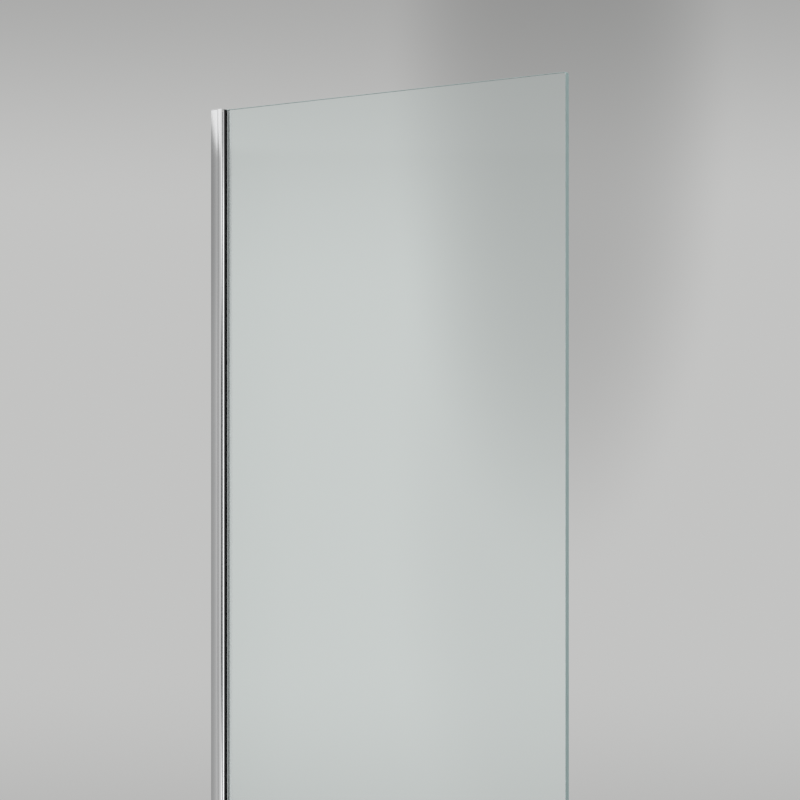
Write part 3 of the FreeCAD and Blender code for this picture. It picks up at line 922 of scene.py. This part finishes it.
def top_cap():
    """A moulded plate with a soft upper rim and two pegs that push into the screw ports."""
    plate_low = profile_high.z
    shape = Outline(cap_low.x, -profile_half).line(pivot_x, -profile_half)
    shape.arc(pivot, profile_front, pivot_y).line(profile_front, -pivot_y)
    shape.arc((pivot_x, -pivot_y), pivot_x, profile_half).line(cap_low.x, profile_half)
    loop = held(softened(shape.points, 0.5))
    rings = [(loop, plate_low), (loop, cap_high.z - cap_rounding - HOLD), (loop, cap_high.z - cap_rounding)]
    for step in range(1, 5):
        angle = math.radians(22.5 * step)
        level = cap_high.z - cap_rounding * (1 - math.sin(angle))
        rings.append((inset(loop, cap_rounding * (1 - math.cos(angle))), level))
    bm = skin(rings, IN_PLAN)
    peg_radius = port_radius - peg_play
    for y in port_ys:
        profile = [(0, cap_low.z), (peg_radius * 0.75, cap_low.z), (peg_radius, cap_low.z + 0.8),
                   (peg_radius, plate_low + 0.2), (0, plate_low + 0.2)]
        bm.from_mesh(moved(turned("peg", profile, 24), port_x, y, 0))
    piece("top_cap_moulded", as_mesh(bm, "top_cap"), "chrome_look_plastic", "hinge_side", "top_cap")


def block_screws():
    """Two countersunk screws, heads down, along the screw ports."""
    low, high = small_low.z, small_high.z
    head = (small_high.x - small_low.x) / 2
    shank = port_radius - block_screw_play
    neck = low + 0.3 + head - shank
    shape = [(0, low), (head - 0.08, low), (head, low + 0.08), (head, low + 0.3), (shank, neck)]
    shape += threaded(shank, neck, high, block_pitch) + [(shank * 0.7, high), (0, high)]
    thread = {"from": neck + 0.4, "to": high - 0.2, "pitch": block_pitch, "depth": block_thread}
    screw = turned("countersunk_screw", shape, 48, thread)
    cross = moved(cross_cutter(1.6, 0.7, 1.2, -low), 0, 0, 0, 180)
    step = port_ys[1] - port_ys[0]
    made = row(carve(screw, [cross]), 2, (port_x, port_ys[0], 0), (0, step, 0), "screw_steel")
    piece("block_screws_cut", made, "screw_steel", "hinge_side", "block_screws")


def side_seal():
    """The flexible fin in the slot of the nose, thin at its tip and wide at its root."""
    head, neck = slot_width / 2 - seal_clearance, slot_mouth / 2 - seal_clearance
    head_low, head_high = slot_ceiling + seal_clearance, slot_floor - seal_clearance
    tip_x, tip_y = leaf_high.x - fin_setback, seal_low.y
    run = Vector((tip_x - slot_x + neck, tip_y - nose_inner)).normalized() * fin_thickness
    root = profile_front - root_setback
    shape = Outline(slot_x - neck, nose_inner)
    shape.line(tip_x, tip_y).line(tip_x - run.y, tip_y + run.x)
    shape.bow(root, nose_inner - root_wall, root_bow).line(root, nose_inner - ROOT_GAP)
    shape.line(slot_x + neck, nose_inner - ROOT_GAP).line(slot_x + neck, head_low)
    shape.line(slot_x + head, head_low)
    shape.line(slot_x + head, head_high).line(slot_x - head, head_high).line(slot_x - head, head_low)
    shape.line(slot_x - neck, head_low)
    mesh = prism("side_seal", shape, seal_low.z, seal_high.z, soft=0.25)
    piece("side_seal_fin", mesh, "milky_pvc", "hinge_side", "side_seal")


# ---- panel ----

def glass_profile():
    """The swinging profile with its round bead, neck and pocket."""
    neck = neck_thickness / 2
    bead_join = pivot_y + half_chord(bead_radius, neck)
    inner_bend = pivot_x - half_chord(pocket_radius, leaf_inner - pivot_y)
    outer_bend = pivot_x - half_chord(sweep_radius, leaf_outer - pivot_y)
    back, front = leaf_low.x, leaf_high.x
    shape = Outline(pivot_x + neck, bead_join).line(pivot_x + neck, -leaf_outer)
    shape.line(front, -leaf_outer).line(front, -leaf_inner).line(pocket_back, -leaf_inner)
    shape.line(pocket_back, pivot_y + half_chord(pocket_radius, pivot_x - pocket_back))
    shape.arc(pivot, inner_bend, leaf_inner, clockwise=True)
    shape.line(front, leaf_inner).line(front, leaf_outer).line(outer_bend, leaf_outer)
    shape.arc(pivot, back, pivot_y + half_chord(sweep_radius, pivot_x - back))
    shape.line(back, -leaf_outer).line(pivot_x - neck, -leaf_outer).line(pivot_x - neck, bead_join)
    shape.arc(pivot, pivot_x + neck, bead_join)
    mesh = prism("glass_profile", shape, leaf_low.z, leaf_high.z, soft=0.18)
    reach = liner_outer + notch_play
    bead_top = profile_high.z - bead_cut
    space = box_outline(pivot_x - reach, pivot_y - reach, pivot_x + reach, pivot_y + socket_radius)
    notch = prism("notch", space, bead_top, leaf_high.z + 1, soft=0)
    piece("glass_profile_drawn", carve(mesh, [notch]), "polished_aluminium", "panel", "glass_profile")


def glass_pane():
    """The pane with rounded corners and a polished bevel round both faces."""
    left, right, low, high = pane_low.x, pane_high.x, pane_low.z, pane_high.z
    r = glass_corner
    shape = Outline(left + r, low).line(right - r, low).arc((right - r, low + r), right, low + r)
    shape.line(right, high - r).arc((right - r, high - r), right - r, high)
    shape.line(left + r, high).arc((left + r, high - r), left, high - r)
    shape.line(left, low + r).arc((left + r, low + r), left + r, low)
    mesh = prism("glass_pane", shape, pane_low.y, pane_high.y, UPRIGHT, soft=0, bevel=glass_arris)
    pane = piece("glass_pane_polished", mesh, "toughened_glass", "panel", "glass_pane")
    pane.data.materials.append(materials["ground_glass_edge"])
    for polygon in pane.data.polygons:
        polygon.material_index = int(abs(polygon.normal.y) < 0.9)


def gaskets():
    """The black strips on both faces of the glass, a hair clear of it. The outer one laps over its lip."""
    face = -pane_half - GLASS_GAP
    start, front = gasket_low.x, gasket_high.x
    head_back, head_level = leaf_high.x + gasket_gap, gasket_low.y
    head = -pane_half - head_level
    bend = front - head
    cover, under = leaf_high.x - gasket_cover, -leaf_outer - GLASS_GAP
    shape = Outline(start, -leaf_inner).line(head_back, -leaf_inner).line(head_back, under)
    shape.line(cover, under).line(cover, head_level).line(bend, head_level)
    shape.arc((bend, -pane_half), bend + half_chord(head, GLASS_GAP), face)
    shape.line(start, face)
    mesh = prism("outer_gasket", shape, gasket_low.z, gasket_high.z, soft=0.2)
    piece("outer_gasket_strip", mesh, "black_rubber", "panel", "outer_gasket")
    start, front, half = strip_low.x, strip_high.x, grip_groove_width / 2
    shape = Outline(start, pane_half + GLASS_GAP).line(front, pane_half + GLASS_GAP).line(front, leaf_inner)
    for i in range(grip_groove_count, 0, -1):
        middle = start + (front - start) * i / (grip_groove_count + 1)
        shape.line(middle + half, leaf_inner).line(middle + half, leaf_inner - grip_groove_depth)
        shape.line(middle - half, leaf_inner - grip_groove_depth).line(middle - half, leaf_inner)
    shape.line(start, leaf_inner)
    mesh = prism("inner_gasket", shape, strip_low.z, strip_high.z, soft=0.12)
    piece("inner_gasket_strip", mesh, "black_rubber", "panel", "inner_gasket")


def setting_blocks():
    """Nylon blocks between the edge of the pane and the back of the pocket."""
    shape = box_outline(block_low.x, block_low.y, block_high.x - GLASS_GAP, block_high.y)
    mesh = prism("setting_block", shape, -block_length / 2, block_length / 2, soft=0.2, bevel=0.2)
    first = leaf_low.z + block_margin
    step = (leaf_high.z - leaf_low.z - 2 * block_margin) / (block_count - 1)
    made = row(mesh, block_count, (0, 0, first), (0, 0, step), "white_nylon")
    piece("setting_blocks_cut", made, "white_nylon", "panel", "setting_blocks")


def bottom_seal():
    """The clear strip on the lower edge, with its sweep fin and its drip fin."""
    inner = pane_half + seal_play
    outer = inner + seal_wall
    web_top = pane_low.z - seal_play
    web_low = web_top - seal_web
    middle = web_low + seal_web / 2
    drop = middle - rim_clearance
    half_fin = fin_wall / 2
    turn = math.asin(drop / (sweep_fin_radius + half_fin))
    sweep_centre = (sweep_fin_radius, middle)
    drip_centre = (inner, middle - drip_fin_radius)
    drip_end = math.radians(90 - drip_fin_turn)

    def around(centre, radius, angle):
        return centre[0] + radius * math.cos(angle), centre[1] + radius * math.sin(angle)

    shape = Outline(-outer, sweep_high.z).line(-outer, web_low)
    shape.line(-half_fin, web_low)
    first = math.pi + math.asin(half_fin / sweep_fin_radius)
    shape.line(*around(sweep_centre, sweep_fin_radius + half_fin, first))
    shape.arc(sweep_centre, *around(sweep_centre, sweep_fin_radius + half_fin, math.pi + turn))
    shape.line(*around(sweep_centre, sweep_fin_radius - half_fin, math.pi + turn))
    shape.arc(sweep_centre, half_fin, web_low, clockwise=True)
    drip_inner, drip_outer = drip_fin_radius - half_fin, drip_fin_radius + half_fin
    shape.line(outer - 0.5, web_low)
    shape.line(*around(drip_centre, drip_inner, math.acos((outer - inner) / drip_inner)))
    shape.arc(drip_centre, *around(drip_centre, drip_inner, drip_end), clockwise=True)
    shape.line(*around(drip_centre, drip_outer, drip_end))
    shape.arc(drip_centre, *around(drip_centre, drip_outer, math.acos((outer - inner) / drip_outer)))
    shape.line(outer, sweep_high.z).line(inner, sweep_high.z).line(inner, web_top)
    shape.line(-inner, web_top).line(-inner, sweep_high.z)
    mesh = prism("bottom_seal", shape, sweep_low.x, sweep_high.x, ACROSS, soft=0.25)
    piece("bottom_seal_strip", mesh, "clear_pvc", "panel", "bottom_seal")


def keep_cad_nodes():
    """The plain mouldings keep their CAD shapes and get their finish here."""
    finishes = {
        "bottom_block": "chrome_look_plastic",
        "thrust_pad": "white_nylon",
        "lift_stop": "white_nylon",
        "support_block": "white_nylon",
    }
    for name, finish in finishes.items():
        node = frame["nodes"][name]
        node.data.materials.clear()
        node.data.materials.append(materials[finish])


# ---- studio ----

CAMERA_PLACE = (3.833, -3.6655, 0.8945)
CAMERA_TURN = math.radians(42.8)
LENS = 135.0
SHIFT = 0.06675
SENSOR = 36.0
PICTURE = 800
FLOOR_MIDDLE = (0.4, 0, 0)
FLOOR_RADIUS = 3.0
FLOOR_DROP = 0.0002
FLOOR_FADE = (0.7, 2.2)
LAMP_PLACE = (-1.2, -2.6, 3.4)
LAMP_AIM = (0.4, 0, 0.7)
LAMP_SIZE = 1.8
LAMP_POWER = 45.0


def camera():
    data = bpy.data.cameras.new("camera")
    data.lens = LENS
    data.sensor_width = SENSOR
    data.shift_y = SHIFT
    data.clip_end = 100.0
    obj = new_object("camera", data)
    obj.location = CAMERA_PLACE
    obj.rotation_euler = (math.radians(90), 0, CAMERA_TURN)
    bpy.context.scene.camera = obj


def pale_floor(tree, shader):
    """Matt and pale, fading out away from the screen."""
    fill(tree, shader, Base_Color=(0.62, 0.62, 0.615, 1), Roughness=0.6, Specular_IOR_Level=0.1)
    away = new_node(tree, "VectorMath")
    away.operation = "DISTANCE"
    put(tree, away.inputs[0], place_of(tree))
    put(tree, away.inputs[1], FLOOR_MIDDLE)
    faded = new_node(tree, "MixShader", Fac=ease(tree, away.outputs["Value"], *FLOOR_FADE))
    put(tree, faded.inputs[1], shader.outputs["BSDF"])
    put(tree, faded.inputs[2], new_node(tree, "BsdfTransparent").outputs["BSDF"])
    fill(tree, tree.nodes["Material Output"], Surface=faded.outputs["Shader"])


def floor():
    """A pale floor that fades into the backdrop."""
    bm = bmesh.new()
    bmesh.ops.create_circle(bm, cap_ends=True, segments=96, radius=FLOOR_RADIUS)
    mesh = as_mesh(bm, "floor")
    mesh.transform(Matrix.Translation((*FLOOR_MIDDLE[:2], -FLOOR_DROP)))
    if mesh.polygons[0].normal.z < 0:
        mesh.flip_normals()
    mesh.materials.append(painted(pale_floor))
    obj = new_object("floor", mesh)


def tone_ramp(tree, value, stops):
    """A grey level from stops of angle and level. The angle runs from -180 to 180 degrees."""
    ramp = new_node(tree, "ValToRGB", Fac=calc(tree, "MULTIPLY_ADD", value, 1 / 360, 0.5))
    elements = ramp.color_ramp.elements
    elements.remove(elements[1])
    elements[0].position = 1
    elements[0].color = (stops[-1][1],) * 3 + (1,)
    for angle, level in stops:
        elements.new((angle + 180) / 360).color = (level, level, level, 1)
    return ramp.outputs["Color"]


def band(tree, value, rise_start, rise_end, fall_start, fall_end):
    """1 between two angles with soft ends, 0 outside."""
    rise = ease(tree, value, rise_start, rise_end)
    fall = ease(tree, value, fall_start, fall_end)
    return times(tree, rise, rest(tree, fall))


def sight(px, py):
    """Azimuth from -Y towards +X and elevation, in degrees, of a point of the square picture."""
    focal = LENS / SENSOR * PICTURE
    aside, up = (px - PICTURE / 2) / focal, (PICTURE / 2 + SHIFT * PICTURE - py) / focal
    x = aside * math.cos(CAMERA_TURN) - math.sin(CAMERA_TURN)
    y = aside * math.sin(CAMERA_TURN) + math.cos(CAMERA_TURN)
    return math.degrees(math.atan2(x, -y)), math.degrees(math.atan2(up, math.hypot(x, y)))


def oval(tree, around, rise, centre, wide, tall):
    """1 at a point of the picture, fading to 0 at an oval of this half width and half height in degrees."""
    middle = sight(*centre)
    u = calc(tree, "DIVIDE", calc(tree, "SUBTRACT", around, middle[0]), wide)
    v = calc(tree, "DIVIDE", calc(tree, "SUBTRACT", rise, middle[1]), tall)
    away = calc(tree, "ADD", times(tree, u, u), times(tree, v, v))
    return rest(tree, ease(tree, away, 0.0, 1.0))


def room_tones(tree, around, rise):
    """What polished metal and glass reflect: soft panels, a bright strip and a dark opening."""
    middle = tone_ramp(tree, around, (
        (-180, 0.62), (-120, 0.50), (-60, 0.29), (-46.9, 0.29), (-45.8, 0.44), (-45.3, 0.75), (-43, 0.95),
        (-39.5, 1.0), (-36, 0.5), (-8, 0.50), (14, 0.56), (30, 0.82), (84, 1.0), (114, 1.0), (128, 0.62)))
    upper = tone_ramp(tree, around, (
        (-180, 0.50), (-100, 0.55), (-60, 0.86), (-45.9, 0.86), (-43, 0.95), (-38, 1.0),
        (-33, 0.85), (30, 0.85), (40, 0.68), (50, 0.68), (56, 0.76), (74, 0.75), (88, 0.55), (120, 0.62)))
    lean = calc(tree, "MINIMUM", calc(tree, "MAXIMUM", calc(tree, "ADD", around, 45.9), -2.0), 0.0)
    level = calc(tree, "MULTIPLY_ADD", lean, 0.53, rise)
    shade = calc(tree, "MULTIPLY_ADD", ease(tree, rise, 1.0, 5.2), -0.16, 1.0)
    middle = blend_colours(tree, 1.0, middle, shade, "MULTIPLY")
    room = blend_colours(tree, ease(tree, level, 5.6, 5.9), middle, upper)
    opening = times(tree, band(tree, around, 31.0, 35.0, 84.0, 89.0),
                   band(tree, rise, -7.2, -3.6, 1.2, 4.8))
    room = blend_colours(tree, opening, room, (0.030, 0.031, 0.032, 1))
    strip = times(tree, band(tree, around, 44.8, 45.1, 47.3, 47.6),
                 rest(tree, ease(tree, rise, 4.5, 6.0)))
    return blend_colours(tree, strip, room, (1.4, 1.4, 1.4, 1))


def backdrop_tones(tree, around, rise):
    """The plain pale wall seen behind the screen, a little darker above, below and at the top right."""
    high = times(tree, ease(tree, rise, 4.5, 10.0), 0.30)
    low = times(tree, rest(tree, ease(tree, rise, -9.0, -4.0)), 0.20)
    corner = times(tree, oval(tree, around, rise, (560, 60), 3.4, 10.0), 0.25)
    kept = rest(tree, calc(tree, "ADD", high, low))
    kept = times(tree, kept, rest(tree, corner))
    return blend_colours(tree, kept, (0.0, 0.0, 0.0, 1), (0.546, 0.546, 0.541, 1))


def studio():
    """A grey room of soft reflections, a plain backdrop and an even dome of light."""
    world = bpy.data.worlds.new("studio")
    bpy.context.scene.world = world
    world.use_nodes = True
    tree = world.node_tree
    direction = new_node(tree, "TexCoord").outputs["Generated"]
    parts = new_node(tree, "SeparateXYZ", Vector=direction).outputs
    to_degrees = 180 / math.pi
    front = times(tree, parts["Y"], -1.0)
    around = times(tree, calc(tree, "ARCTAN2", parts["X"], front), to_degrees)
    rise = times(tree, calc(tree, "ARCSINE", parts["Z"]), to_degrees)
    room = room_tones(tree, around, rise)
    backdrop = backdrop_tones(tree, around, rise)
    path = new_node(tree, "LightPath").outputs
    shaded = calc(tree, "MULTIPLY_ADD", ease(tree, rise, 3.0, 6.0), -0.07, 1.0)
    corner = calc(tree, "MULTIPLY_ADD", oval(tree, around, rise, (540, 500), 3.0, 9.0), -0.08, 1.0)
    seen = blend_colours(tree, times(tree, shaded, corner), (0.0, 0.0, 0.0, 1), backdrop)
    through = blend_colours(tree, 0.05, seen, (1, 1, 1, 1), "ADD")
    shown = blend_colours(tree, path["Is Camera Ray"], room, backdrop)
    shown = blend_colours(tree, path["Is Transmission Ray"], shown, through)
    final = blend_colours(tree, path["Is Diffuse Ray"], shown, (0.8, 0.8, 0.8, 1))
    fill(tree, tree.nodes["Background"], Color=final)


def key_light():
    """One large soft lamp above and in front, on the camera's left."""
    data = bpy.data.lights.new("key", "AREA")
    data.shape = "RECTANGLE"
    data.size = data.size_y = LAMP_SIZE
    data.energy = LAMP_POWER
    obj = new_object("key", data)
    obj.location = LAMP_PLACE
    aim = Vector(LAMP_AIM) - obj.location
    obj.rotation_euler = aim.to_track_quat("-Z", "Y").to_euler()
    obj.visible_glossy = False


# ---- the screen ----

camera()
wall_channel()
clamp_fixings()
hinge_profile()
hinge_liner()
top_cap()
block_screws()
side_seal()
glass_profile()
glass_pane()
gaskets()
setting_blocks()
bottom_seal()
keep_cad_nodes()
floor()
studio()
key_light()
bpy.context.scene.view_settings.view_transform = "Standard"
